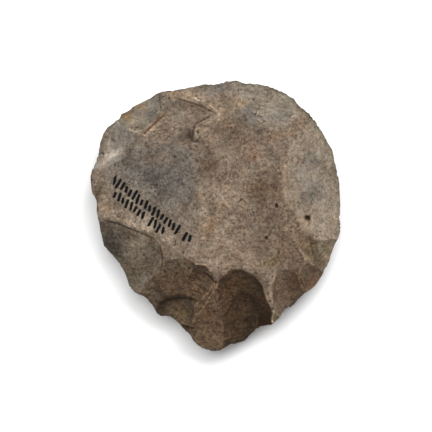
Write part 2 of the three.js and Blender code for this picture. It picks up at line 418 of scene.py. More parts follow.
# %% [markdown]
# ## The two faces
# The front and back are heights over the same plan. The scars are read through a slightly wandering grid,
# so that no ridge is a perfect oval, and the faces close on each other over the last millimetre. Where the
# front dips low at the edge the back gives way, so the stone is always a wedge. A small worn flat at height
# 0 under the belly lets it lie still.

# %% Heights of both faces
EDGE_HEIGHT = 14
FRONT_RISE, FRONT_FULLNESS = 14, 2.6
BACK_RISE, BACK_FULLNESS = 13, 2.4
RIM_HALF = 1.2
EDGE_WIDTH = 0.8
WEDGE_SLOPE = 0.8
WEDGE_START, WEDGE_END = 0.2, 3
WANDER, WANDER_SIZE = 0.7, 8
STEP_WANDER = 0.3  # the steps wander less than the scars
FRONT_PORE_LIMIT, BACK_PORE_LIMIT = 0.88, 0.95  # a higher limit leaves fewer pores


def bulge(x, y, rise, fullness):
    """Height of the blank's face above its edge. Averaging the radius over 40 degrees leaves no creases."""
    bearing = np.degrees(np.arctan2(y, x))
    radius = sum(blank_radius((bearing + turn + 180) % 360 - 180) for turn in range(-20, 21, 5)) / 9
    return RIM_HALF + rise * (1 - (np.hypot(x, y) / radius) ** fullness)


def wander(x, y, seed):
    """Moves points by a fraction of a millimetre, to unsettle the outlines of the scars."""
    shift_x = WANDER * layered_noise(x, y, WANDER_SIZE, seed, 3)
    shift_y = WANDER * layered_noise(x, y, WANDER_SIZE, seed + 5, 3)
    return x + shift_x, y + shift_y


def skin(x, y, seed):
    """Undulation and fine roughness of broken flint."""
    return (
        0.16 * layered_noise(x, y, 11, seed, 2)
        + 0.05 * layered_noise(x, y, 3.2, seed + 3, 2)
        + 0.025 * layered_noise(x, y, 1.4, seed + 8, 2)
    )


def front_height(x, y):
    """Height of the front before the edge is closed, and which scar each point is in."""
    wx, wy = wander(x, y, 1)
    cut, scar = deepest(FRONT_SCARS, wx, wy)
    height = EDGE_HEIGHT + bulge(x, y, FRONT_RISE, FRONT_FULLNESS) - cut
    height = height - bowls(x, y, NAMED_PITS) - pores(x, y, FRONT_PORE_LIMIT, 71)
    height = height - edge_chips(wx, wy, FRONT_CHIPS)
    height = height + skin(x, y, 2) + rings(wx, wy, RIPPLES)
    return height + scarps(x + STEP_WANDER * (wx - x), y + STEP_WANDER * (wy - y), STEPS), scar


def back_height(x, y):
    """Height of the back, never below the table, and which scar each point is in."""
    wx, wy = wander(x, y, 31)
    cut, scar = deepest(BACK_SCARS, wx, wy)
    height = EDGE_HEIGHT - bulge(x, y, BACK_RISE, BACK_FULLNESS) + cut
    height = height + pores(x, y, BACK_PORE_LIMIT, 83) + edge_chips(wx, wy, BACK_CHIPS) - skin(x, y, 32)
    return np.maximum(height, 0), scar


def close_edge(front, back, inset):
    """Keeps the stone a wedge near its edge, and brings both faces together over the last millimetre."""
    back = np.minimum(back, front - WEDGE_SLOPE * np.clip(inset, WEDGE_START, WEDGE_END))
    edge = (front + back) / 2
    opening = np.sqrt(np.clip(inset / EDGE_WIDTH, 0, 1))
    return edge + (front - edge) * opening, edge + (back - edge) * opening


# %% [markdown]
# ## A disc to shape
# The mesh starts as a six-sided disc, filled as a fan and subdivided seven times in edit mode. That gives a
# net of nearly equal triangles about a third of a millimetre across, in 128 rings. Each ring is then laid
# along the stone's plan, and each point is dropped to the height of the front face.

# %% Subdivided disc
SIDES = 6
DOUBLINGS = 7


def fine_disc(name):
    bpy.ops.object.select_all(action="DESELECT")
    bpy.ops.mesh.primitive_circle_add(vertices=SIDES, radius=1, fill_type="TRIFAN")
    disc = bpy.context.object
    disc.name = name
    bpy.ops.object.mode_set(mode="EDIT")
    bpy.ops.mesh.select_all(action="SELECT")
    for _ in range(DOUBLINGS):
        bpy.ops.mesh.subdivide(number_cuts=1, smoothness=0)
    bpy.ops.object.mode_set(mode="OBJECT")
    return disc


def points_of(piece):
    co = np.empty(len(piece.data.vertices) * 3)
    piece.data.vertices.foreach_get("co", co)
    return co.reshape(-1, 3)


def place_points(piece, points):
    piece.data.vertices.foreach_set("co", np.ascontiguousarray(points, dtype=np.float32).ravel())
    piece.data.update()


front = fine_disc("hand_axe_stone")
flat = points_of(front)
print("disc:", len(flat), "points,", len(front.data.polygons), "triangles")


# %% Lay the rings along the plan
def ring_and_bearing(flat):
    """Ring of each point, 0 at the middle to 1 at the rim, and its bearing in degrees, evenly spaced."""
    sector = 360 / SIDES
    start = 90
    angle = (np.degrees(np.arctan2(flat[:, 1], flat[:, 0])) - start) % 360
    side = np.floor(angle / sector + 1e-7)
    off = np.radians(angle - (side + 0.5) * sector)
    half = math.radians(sector / 2)
    ring = np.hypot(flat[:, 0], flat[:, 1]) * np.cos(off) / math.cos(half)
    share = 0.5 + np.tan(off) / (2 * math.tan(half))
    bearing = start + (side + share) * sector
    return ring, (bearing + 180) % 360 - 180


ring, bearing = ring_and_bearing(flat)
edge = nibbled_radius(bearing)
plan_x = ring * edge * np.cos(np.radians(bearing))
plan_y = ring * edge * np.sin(np.radians(bearing))
open_front, front_scar = front_height(plan_x, plan_y)
open_back, back_scar = back_height(plan_x, plan_y)
front_z, back_z = close_edge(open_front, open_back, (1 - ring) * edge)

middle = np.array([(plan_x.min() + plan_x.max()) / 2, (plan_y.min() + plan_y.max()) / 2])
print("middle of the plan's box from the blank's middle, mm:", middle.round(2))


def to_metres(x, y, z):
    return np.column_stack([x - middle[0], y - middle[1], z]) * MM


place_points(front, to_metres(plan_x, plan_y, front_z))

# %% [markdown]
# ## The back face
# The back is a second disc over the same plan, turned to face down. The two rims have the same points, so
# joining the discs and merging by distance closes the stone into one shell.

# %% Back face, joined to the front
bpy.ops.object.select_all(action="DESELECT")
front.select_set(True)
bpy.context.view_layer.objects.active = front
bpy.ops.object.duplicate()
back = bpy.context.object
place_points(back, to_metres(plan_x, plan_y, back_z))
bpy.ops.object.mode_set(mode="EDIT")
bpy.ops.mesh.select_all(action="SELECT")
bpy.ops.mesh.flip_normals()
bpy.ops.object.mode_set(mode="OBJECT")


def point_value(piece, name, values):
    layer = piece.data.attributes.new(name, "FLOAT", "POINT")
    layer.data.foreach_set("value", np.ascontiguousarray(values, dtype=np.float32))


def point_colour(piece, name, colours):
    layer = piece.data.attributes.new(name, "FLOAT_COLOR", "POINT")
    rgba = np.column_stack([colours, np.ones(len(colours))]).astype(np.float32)
    layer.data.foreach_set("color", rgba.ravel())


# %% [markdown]
# ## What the surface remembers
# Three things decide the colour of old flint at a point: which flake scar it is in, whether it is on a worn
# ridge or down in a crevice, and what has soaked in there. Painted light and shade go in too: crevices and
# pits are darkened with dirt and painted shade, and the scar tones and some patches hold painted light and
# shade for the way each slope faces the lamps. All this is worked out from the mesh and stored as four
# attributes, so the material can read them: the worn ridges, the darkening of crevices and pits, the
# coarseness of the grain and the tone. Ridges and crevices are found by comparing the height at each point
# with the mean of six heights round it. Painting by hand would do as well, but would have to be done again
# after every change of shape.

# %% Neighbours on the disc
links = np.empty(len(front.data.edges) * 2, dtype=np.int32)
front.data.edges.foreach_get("vertices", links)
links = links.reshape(-1, 2)
degree = np.bincount(links.ravel(), minlength=len(flat))
print(len(links), "edges on the disc")


def softened(values, times):
    """Averages each point with its neighbours, a number of times."""
    for _ in range(times):
        total = np.bincount(links[:, 0], values[links[:, 1]], len(flat))
        total += np.bincount(links[:, 1], values[links[:, 0]], len(flat))
        values = 0.5 * values + 0.5 * total / degree
    return values


# %% Ridges and crevices
RELIEF_REACH = 0.5  # mm
FULL_RELIEF = 0.1  # mm
RELIEF_IGNORED = 0.1  # share of the full relief


def ridge_and_crevice(height, x, y, sign):
    """How far each point stands above, or lies below, the mean of six points round it: 1 is full relief."""
    turns = np.arange(6) * math.pi / 3
    around = [height(x + RELIEF_REACH * math.cos(t), y + RELIEF_REACH * math.sin(t))[0] for t in turns]
    relief = sign * (height(x, y)[0] - sum(around) / len(around)) / FULL_RELIEF
    return np.clip(relief - RELIEF_IGNORED, 0, 1), np.clip(-relief - RELIEF_IGNORED, 0, 1)


# %% Colours of the scars
# red, green and blue of each scar beside the blank's own skin, which is 1, then the coarseness of its grain.
# Besides a scar's own colour, many tones hold painted light or painted shade: darker where the slope faces
# away from the lamps, lighter where it faces them.
SCAR_TONES_WITH_PAINTED_LIGHT = {
    "skin": (0.98, 0.97, 0.98, 0.85), "left": (1.03, 1.08, 1.15, 0.7), "right": (1.36, 1.42, 1.47, 0.4),
    "butt_left": (0.98, 1.04, 1.12, 0.6), "butt_right": (1.1, 1.2, 1.3, 0.35),
    "upper": (1.0, 1.02, 1.05, 0.5), "upper_left": (1.0, 1.08, 1.12, 0.3),
    "left_shoulder": (1.26, 1.38, 1.54, 0.3), "lower_left": (0.86, 0.91, 0.96, 0.8),
    "tip_left": (0.7, 0.66, 0.6, 1), "tip_left_head": (0.6, 0.53, 0.45, 1),
    "tip_left_inner": (0.69, 0.63, 0.54, 0.7),
    "tip_middle": (0.85, 0.77, 0.67, 1), "tip_right": (0.4, 0.32, 0.24, 1),
    "tip_right_head": (0.48, 0.41, 0.33, 1),
    "tip_right_inner": (0.28, 0.19, 0.09, 0.4), "low_right_old": (0.97, 0.94, 0.93, 0.8),
    "low_right_a": (0.9, 0.83, 0.75, 0.5), "low_right_b": (1.2, 1.16, 1.06, 0.4),
    "low_right_d": (0.9, 0.83, 0.72, 0.4), "low_right_c": (1.5, 1.52, 1.48, 0.3),
    "corner_chip": (3.2, 3.2, 2.7, 0.2),
}
PLAIN_TONE = (1, 1, 1, 0.5)
BACK_TONE = (0.97, 0.98, 1.0, 0.5)
TONE_SOFTENING = 2


def tones(scars, winner, default):
    """Each point's tone and coarseness from the scar that it is in, a little softened at the borders."""
    table = np.array([SCAR_TONES_WITH_PAINTED_LIGHT["skin"]] + [SCAR_TONES_WITH_PAINTED_LIGHT.get(name, default) for name in scars], float)
    return np.column_stack([softened(column, TONE_SOFTENING) for column in table[winner].T])


print(len(SCAR_TONES_WITH_PAINTED_LIGHT), "tones")

# %% Patches of patina
# What years in the ground did to the flint, with painted light laid in among it: the dark patches are
# painted shade, the bleached ones painted highlights, and the pale ones pale patina with painted light. Each
# tint is red, green and blue beside the stone's own colour.
PATINA_AND_PAINTED_LIGHT_TINTS = {
    "blue_grey": (0.64, 0.72, 0.82), "brown": (0.64, 0.56, 0.48), "tan": (1.14, 1.04, 0.90),
    "orange": (1.28, 0.98, 0.70), "red": (1.08, 0.78, 0.64), "pale_and_painted_light": (1.4, 1.39, 1.36),
    "olive": (0.98, 0.96, 0.76), "painted_shade": (0.34, 0.30, 0.26), "painted_highlight": (1.75, 1.82, 1.88),
}
# centre x and y, half length and half width in mm, heading in degrees, strength
FRONT_PATCHES = {
    "blue_grey": [
        (-26, 16, 12, 6, -25, 1), (-14, 22, 12, 7, 0, 0.7), (-20, 8, 9, 5, 0, 0.4),
        (-22, 40, 5, 3.5, 60, 0.8), (-36, 31, 6, 3, 50, 0.3), (0, 47, 5, 2.4, 0, 0.8),
        (12.6, 37.3, 3.6, 2.8, 0, 0.8), (14, 32, 6, 3.2, -20, 0.7), (24, 36, 5, 3, 0, 0.5),
        (24.5, 28, 2.4, 2, 0, 0.6), (35, 21, 3, 4.5, 0, 0.7), (42, 21, 2, 8, 0, 0.3),
        (32.4, 14, 3, 6, 0, 0.4), (36.4, 9, 4.5, 4, 0, 0.8), (2, -20, 2, 2, 0, 0.3),
        (-38.5, -10.5, 5, 6, 0, 0.8), (39.8, -12.7, 4, 3, 0, 0.4), (-12, 12, 5, 4, 0, 0.5),
    ],
    "brown": [
        (18, 10, 6, 5, 0, 0.8), (23, 9, 3, 4, 0, 0.5), (4, 31, 7, 5, 0, 0.5), (22, -2, 4, 7, 0, 0.3),
        (13.4, -12.6, 4.5, 2.2, 0, 0.6), (24, -12, 4, 5, 0, 0.3), (-18.5, -11.2, 2, 1.4, -40, 0.9),
        (37, 27, 3.5, 3, 0, 0.35), (29.4, -23.5, 3, 6, -15, 1), (-3, 21, 3.4, 6, 20, 0.7),
        (10, -28, 5, 5, 0, 0.7), (-2, -3, 1.6, 3.4, -20, 0.7), (23, 17, 2, 6, 0, 0.4),
        (-26, 33, 3, 3, 0, 0.4), (-42, 26.5, 1.3, 4.5, -8, 1), (-22.8, -10.5, 1.2, 5, 30, 0.7),
        (-9, 41, 3.4, 1.4, -25, 0.5), (-12, 29, 5, 2, 0, 0.4), (34, -0.7, 2, 2, 0, 1),
        (-24, -17, 3, 5, 0, 0.5), (36, -14, 2, 6, 35, 0.4),
    ],
    "tan": [
        (4, 41, 9, 4, 0, 0.9), (-12, 46, 6, 2, 5, 0.8), (-22, 33, 4, 3, 50, 0.5),
        (-33, -3, 14, 4, -38, 0.5), (30, -4, 5, 9, 0, 0.4), (-41, 3, 3, 5, 0, 0.5),
    ],
    "orange": [
        (10, 41.8, 2.2, 1.6, 0, 0.4), (21.9, 29.7, 3.4, 2.2, -20, 0.5), (-28.5, 41, 1.6, 1.2, 0, 0.8),
        (-2.4, -3, 1.4, 3, -20, 0.4), (-7, 8.4, 1.6, 2.6, 0, 0.5), (-33.5, 37.4, 1.6, 1.3, 0, 0.9),
        (-22.5, 34.6, 1, 5, -46, 0.45), (26.5, 30, 2, 1, 0, 0.4), (-21, 21, 7, 2.5, 15, 0.3),
    ],
    "red": [
        (14, 24.5, 2.6, 3.2, 0, 0.4), (13.8, 21.6, 1.2, 1.2, 0, 0.6), (35.3, -25, 3, 1.8, 50, 0.8),
        (4, -26, 3, 5, 0, 0.5), (-12, -25, 6, 4, 0, 0.4), (-43.5, 14, 1.2, 3, 0, 0.4),
        (-2, -38, 5, 7, 0, 0.4),
    ],
    # pale patina over broad areas; the narrow strips on ridges and the lit walls are painted light
    "pale_and_painted_light": [
        (-4, -10, 17, 7, -8, 0.95), (7, -16, 8, 4, 0, 0.8), (2, 4, 6, 9, 0, 0.7),
        (-27.5, 0.5, 9, 3.4, -38, 0.9), (-41, 4, 3, 6, 0, 0.9), (-45, 14, 2, 3, 0, 0.6),
        (-21.6, -22, 1.8, 1.1, 45, 0.9), (-30.5, -11.5, 3, 3.4, 30, 0.4), (-28, -19, 3, 5, 20, 0.3),
        (-38.5, 24.5, 4, 3, 30, 0.9), (-43, 28, 2, 4, -20, 0.4), (-38.5, 22.3, 3.6, 1.7, 25, 1),
        (-8.4, 20, 1.1, 6, 3, 0.5), (-5.6, 10, 1.1, 4, 14, 0.5), (-4.2, 0, 1.1, 6, 0, 0.6),
        (0.6, 36.8, 3, 0.9, 10, 0.5), (25.2, 12, 1, 8, 0, 0.6), (27.6, -3, 1, 5, 14, 0.5),
        (26.5, 23, 1, 4, -20, 0.5), (-1.4, 35.4, 4.5, 1.1, 28, 0.6), (-6.5, 31, 0.8, 3, 0, 0.6),
        (-13.5, 45.2, 4, 1, -8, 0.8), (-5.6, 43.6, 4.6, 1.5, -22, 0.8), (-20.4, 35, 5, 0.7, 44, 0.9),
        (-31, 35, 3, 2.6, 0, 0.7), (-21, 28, 5, 2.4, 0, 0.2), (9, -22.2, 6, 2, -10, 0.3),
        (29, 33, 4, 3, 0, 0.5), (2.8, -27.5, 1.2, 4, -8, 0.3), (10, 8, 4, 4, 0, 0.6),
        (1, 23, 4, 3, 0, 0.5), (-4, 14, 3, 3, 0, 0.5), (20.5, -31, 1.8, 9, -6, 0.9),
        (24, -10, 4, 5, 0, 0.7), (1, -44.5, 8, 2.6, 0, 0.8), (-12, -35.5, 4, 2.4, 30, 0.6),
        (9, -38, 2, 3, 0, 0.5), (-6, -30, 3, 3, 0, 0.5), (41, -6, 5, 4, 0, 0.3),
    ],
    # painted highlights: lit walls and the tops of ridges
    "painted_highlight": [
        (-31, -2.6, 10, 1.4, -17, 0.45), (-28.5, -9.5, 3.5, 2.4, -20, 0.3), (5.4, -22.4, 3, 1.6, 0, 0.55),
        (-0.6, -26, 1.8, 1.4, 0, 0.5), (22, -36.6, 1.3, 3, 0, 0.5), (42, -10, 1.8, 1.4, 0, 0.5),
        (-39.2, 21.3, 4.2, 1.5, 28, 0.9), (-43, 18.5, 2.4, 1.1, 12, 0.6), (-36.4, 24.6, 1.8, 2, 50, 0.35),
        (-19.8, -17.4, 0.9, 3, 10, 0.8), (-21.4, -21, 1.6, 1.2, 45, 0.7),
        (-8.2, -37.6, 2.4, 0.5, 58, 0.6), (-5, -32.6, 2.4, 0.5, 58, 0.5), (-1.4, -26.6, 2, 0.5, 55, 0.5),
    ],
    "olive": [
        (-33, -21, 4, 8, 25, 0.7), (18.2, -17, 3, 1.4, 30, 1), (22.5, -16, 1.6, 3.4, -25, 0.7),
        (15.5, 9.6, 3.5, 2.5, 0, 0.6), (39.8, -12.5, 4, 3.5, 0, 0.5), (-33.5, 36.5, 2.4, 1.8, 0, 0.6),
        (-13, -36, 6, 3, 30, 0.5),
    ],
    # painted shade: walls and slopes that face away from the lamps, the feet of steps, and the bottoms of
    # pits
    "painted_shade": [
        (-44.6, 8, 1.8, 2.6, 0, 1), (-10.4, 30.6, 2.2, 2.6, 0, 0.6), (-9, 30.2, 1.2, 2.2, 0, 1),
        (-42.8, 27, 0.8, 2.6, -6, 0.7), (-30.4, 27.4, 1.3, 3, -35, 0.5), (-14.5, 42, 3, 1.2, -8, 0.45),
        (16.5, -33, 3.2, 9, 28, 0.7), (-19.6, -31.2, 3.6, 1.9, 28, 0.85), (-14, -30.1, 4, 1.5, 0, 0.85),
        (-9, -30.6, 3, 1.3, -14, 0.85), (14.2, -22.2, 1.8, 1.2, -40, 0.5),
        (2.2, -35.5, 1.6, 4.5, 0, 0.45), (38, -18, 2.4, 1.6, 50, 0.4), (-20.5, -34, 3, 3, -45, 0.75),
        (-22, -29, 3, 2.4, -50, 0.5), (-10.4, -41, 3, 0.8, -14, 0.9), (-12, -28.4, 5, 1.6, 0, 0.3),
        (6.5, -47, 3.5, 1.2, 0, 0.5), (-5, -45, 1.4, 1.8, 0, 0.6), (30, -32, 4.5, 1.1, 42, 0.6),
        (32.5, -23.5, 2.6, 2, -60, 0.5), (34, -0.7, 1.2, 1.4, 0, 1), (-40, -11, 4, 5.4, 0, 0.75),
        (-37, -14, 3, 3.4, 40, 0.55), (-33, -8, 3, 2, 0, 0.2), (12, -41, 3, 3, 0, 0.4),
        (-32, 20, 2.6, 8, 40, 0.35), (-9, 12, 4, 3, 0, 0.2),
    ],
}
RIM_TINT = (0.62, 0.68, 0.58)
RIM_BEARINGS = (15, 85)
RIM_FADE = 8  # degrees
RIM_WIDTH = 1.1  # mm
PATCH_RAGGED, PATCH_RAGGED_SIZE = 1.6, 4
RAGGED_FROM = 3  # a patch at least this wide, in mm, is as ragged as can be
SHALLOWEST_PIT = 0.02
# pits darken with depth: dirt, and painted shade down in them
PIT_DIRT_AND_SHADE = 0.22  # a pit this deep, in mm, is full of dark dirt


def patina_and_painted_light(tone_and_painted_light, x, y, patches):
    """Scar tones with the patches of patina, painted shade and painted light. Noise makes them ragged, the
    narrow ones least.
    """
    shift_x = PATCH_RAGGED * layered_noise(x, y, PATCH_RAGGED_SIZE, 51, 3)
    shift_y = PATCH_RAGGED * layered_noise(x, y, PATCH_RAGGED_SIZE, 57, 3)
    tone_and_painted_light = tone_and_painted_light.copy()
    for tint, places in patches.items():
        for cx, cy, reach, half, heading, strong in places:
            turn = math.radians(heading)
            ragged = min(1, min(reach, half) / RAGGED_FROM)
            dx, dy = x + ragged * shift_x - cx, y + ragged * shift_y - cy
            along = (dx * math.cos(turn) + dy * math.sin(turn)) / reach
            across = (dy * math.cos(turn) - dx * math.sin(turn)) / half
            amount = strong * np.exp(-(along**2) - across**2)[:, None]
            tone_and_painted_light[:, :3] *= 1 - amount + amount * np.array(PATINA_AND_PAINTED_LIGHT_TINTS[tint])
    return tone_and_painted_light


def rim_band(tone_and_painted_light, inset, bearing):
    """A narrow band along the edge on the butt's +X side, darker and a little greener than the rest."""
    first, last = RIM_BEARINGS
    part = np.clip(np.minimum(bearing - first, last - bearing) / RIM_FADE, 0, 1)
    amount = (part * np.exp(-((inset / RIM_WIDTH) ** 2)))[:, None]
    tone_and_painted_light[:, :3] *= 1 - amount + amount * np.array(RIM_TINT)
    return tone_and_painted_light


def remember(piece, relief, tone_and_painted_light, pits=0):
    """Stores the four attributes. The bottom of a pit is never worn, and a deep one is darkened with dirt
    and painted shade.
    """
    worn, dirt_and_painted_shade = relief
    worn, dirt_and_painted_shade = worn * (pits < SHALLOWEST_PIT), np.maximum(dirt_and_painted_shade, pits / PIT_DIRT_AND_SHADE)
    point_value(piece, "worn", worn)
    point_value(piece, "dirt_and_painted_shade", dirt_and_painted_shade)
    point_value(piece, "coarse", tone_and_painted_light[:, 3])
    point_colour(piece, "tone_and_painted_light", tone_and_painted_light[:, :3])


# the front's colour: scar tones and patina, with painted light and painted shade laid in
front_tone_and_painted_light = patina_and_painted_light(tones(FRONT_SCARS, front_scar, PLAIN_TONE), plan_x, plan_y, FRONT_PATCHES)
front_tone_and_painted_light = rim_band(front_tone_and_painted_light, (1 - ring) * edge, bearing)
front_relief = ridge_and_crevice(front_height, plan_x, plan_y, 1)
remember(front, front_relief, front_tone_and_painted_light, bowls(plan_x, plan_y, NAMED_PITS))

# %% Patches on the back
BACK_TINTS = ("blue_grey", "brown", "tan", "pale_and_painted_light", "orange")
BACK_PATCH_COUNT = 26
BACK_PATCH_SPREAD = 44  # mm from the blank's middle


def scattered_patches(seed, count, spread):
    """Patches at random places within a circle, taking the tints in turn."""
    rng = np.random.default_rng(seed)
    patches = {tint: [] for tint in BACK_TINTS}
    for k in range(count):
        bearing, reach = rng.uniform(0, 2 * math.pi), spread * math.sqrt(rng.uniform(0, 1))
        size = rng.uniform(2.5, 8), rng.uniform(2, 5), rng.uniform(0, 180), rng.uniform(0.3, 0.7)
        tint = BACK_TINTS[k % len(BACK_TINTS)]
        patches[tint].append((reach * math.cos(bearing), reach * math.sin(bearing), *size))
    return patches


back_patches = scattered_patches(21, BACK_PATCH_COUNT, BACK_PATCH_SPREAD)
back_tone = patina_and_painted_light(tones(BACK_SCARS, back_scar, BACK_TONE), plan_x, plan_y, back_patches)
remember(back, ridge_and_crevice(back_height, plan_x, plan_y, -1), back_tone)
print("patches:", sum(len(p) for p in FRONT_PATCHES.values()), "in front,", BACK_PATCH_COUNT, "behind")

# %% Close the shell
bpy.ops.object.select_all(action="DESELECT")
back.select_set(True)
front.select_set(True)
bpy.context.view_layer.objects.active = front
bpy.ops.object.join()
stone = bpy.context.object
bpy.ops.object.mode_set(mode="EDIT")
bpy.ops.mesh.select_all(action="SELECT")
bpy.ops.mesh.remove_doubles(threshold=1e-7)
bpy.ops.mesh.normals_make_consistent(inside=False)
bpy.ops.object.mode_set(mode="OBJECT")
bpy.ops.object.shade_smooth()
stone_points = points_of(stone) / MM
print("stone:", len(stone.data.polygons), "triangles")
print("its box, mm:", stone_points.min(0).round(2), stone_points.max(0).round(2))

# %% [markdown]
# ## The stone material
# Flint that has lain in the ground is a matt pinkish grey-brown with darker specks. An image could be
# wrapped round the stone, but nodes that read its own place and attributes have no seam and follow every
# scar. They blend three browns in blotches, multiply in warmer and cooler areas, the scar tones with their
# painted light and shade, and a coarse speckle, then put dirt in specks, dirt and painted shade in crevices
# and pits, and brighten the worn ridges.

# %% Node helpers
flint = bpy.data.materials.new("weathered_flint")
flint.use_nodes = True
nodes, wires = flint.node_tree.nodes, flint.node_tree.links
nodes.clear()


def node(kind, **values):
    made = nodes.new(kind)
    for key, value in values.items():
        setattr(made, key, value)
    return made


def wire(out, into):
    wires.new(out, into)


def plug(socket, value):
    if isinstance(value, bpy.types.NodeSocket):
        wire(value, socket)
    else:
        socket.default_value = value


def maths(operation, *inputs, clamp=False):
    made = node("ShaderNodeMath", operation=operation, use_clamp=clamp)
    for socket, value in zip(made.inputs, inputs):
        plug(socket, value)
    return made.outputs[0]


def spread(value, low, high, out_low=0.0, out_high=1.0):
    """Stretches a value from one range to another, without going outside."""
    made = node("ShaderNodeMapRange", clamp=True)
    for socket, given in zip(made.inputs, (value, low, high, out_low, out_high)):
        plug(socket, given)
    return made.outputs[0]


def blend(kind, amount, below, above):
    made = node("ShaderNodeMix", data_type="RGBA", blend_type=kind)
    plug(made.inputs[0], amount)
    plug(made.inputs[6], below)
    plug(made.inputs[7], above)
    return made.outputs[2]


place = node("ShaderNodeTexCoord").outputs["Object"]


def clouds(size, detail=3.0, roughness=0.55, offset=0.0):
    """Soft noise with lumps about `size` mm across."""
    moved = node("ShaderNodeMapping")
    plug(moved.inputs["Vector"], place)
    moved.inputs["Location"].default_value = (offset, offset * 0.7, offset * 0.3)
    made = node("ShaderNodeTexNoise")
    plug(made.inputs["Vector"], moved.outputs[0])
    made.inputs["Scale"].default_value = 1 / (size * MM)
    made.inputs["Detail"].default_value = detail
    made.inputs["Roughness"].default_value = roughness
    return made.outputs["Fac"]


def attribute(name, output="Fac"):
    return node("ShaderNodeAttribute", attribute_type="GEOMETRY", attribute_name=name).outputs[output]


# %% Colour of the stone
STONE = (0.130, 0.099, 0.071, 1)
STONE_PALE = (0.205, 0.166, 0.124, 1)
STONE_DARK = (0.070, 0.050, 0.034, 1)
# colour of the pores, also used for the dirt and painted shade in crevices and pits
PORE_AND_CREVICE_SHADE = (0.026, 0.014, 0.008, 1)
GRAIN_DARK = (0.26, 0.21, 0.18, 1)
GRAIN_LIGHT = (1.86, 1.86, 1.86, 1)
RUSTY = (1.04, 0.98, 0.94, 1)
SLATY = (0.97, 1.01, 1.04, 1)
ARRIS = (1.9, 1.86, 1.8, 1)

coarse = attribute("coarse")
blotches = spread(clouds(6, 4, 0.65), 0.36, 0.66)
colour = blend("MIX", blotches, STONE_DARK, STONE_PALE)
colour = blend("MIX", 0.5, colour, STONE)
warmth = blend("MIX", spread(clouds(4, 4, 0.7, 7.0), 0.36, 0.64), RUSTY, SLATY)
colour = blend("MULTIPLY", 1.0, colour, warmth)
# scar tones and patches: the stone's own colours, with painted light and painted shade
colour = blend("MULTIPLY", 1.0, colour, attribute("tone_and_painted_light", "Color"))

# %% Grain, pores and worn ridges
grains = spread(clouds(1.25, 4, 0.9, 17.0), 0.34, 0.66)
speckle = blend("MIX", grains, GRAIN_DARK, GRAIN_LIGHT)
colour = blend("MULTIPLY", spread(coarse, 0, 1, 0.5, 1), colour, speckle)
specks = spread(clouds(0.9, 3, 0.7, 11.0), 0.35, 0.42, 0.9, 0)
specks = maths("MULTIPLY", specks, spread(clouds(6, 3, 0.6, 19.0), 0.38, 0.58, 0.1, 1))
specks = maths("MULTIPLY", specks, spread(coarse, 0, 1, 0.25, 1))
colour = blend("MIX", specks, colour, PORE_AND_CREVICE_SHADE)
# crevices and pits darkened: dirt, and painted shade where a recess would lie in shade
colour = blend("MIX", maths("MULTIPLY", attribute("dirt_and_painted_shade"), 0.7, clamp=True), colour, PORE_AND_CREVICE_SHADE)
polished = maths("MULTIPLY", attribute("worn"), spread(clouds(5, 3, 0.6, 5.0), 0.46, 0.6, 0, 1), clamp=True)
colour = blend("MULTIPLY", polished, colour, ARRIS)

# %% [markdown]
# ## The ink marking
# A museum marked the stone by hand in black ink, in two slanting rows. Here the rows are kept but hold only
# separate strokes that make no letters. A decal would need an image, so each row is worked out in nodes: it
# is cut into equal cells, and one round-ended pen stroke is drawn in each, from the distance to the stroke's
# middle line. All lean the same way, each by its own amount, and each has its own length and height.

# %% Ink strokes
INK = (0.002, 0.002, 0.002, 1)
PEN_WIDTH = 1.1
PEN_SOFTNESS = 0.07
STROKE_PITCH = 1.85
STROKE_HEIGHT = 4.2
STROKE_SLANTS = (-0.5, -0.1)  # radians
STROKE_LIFT = 0.35


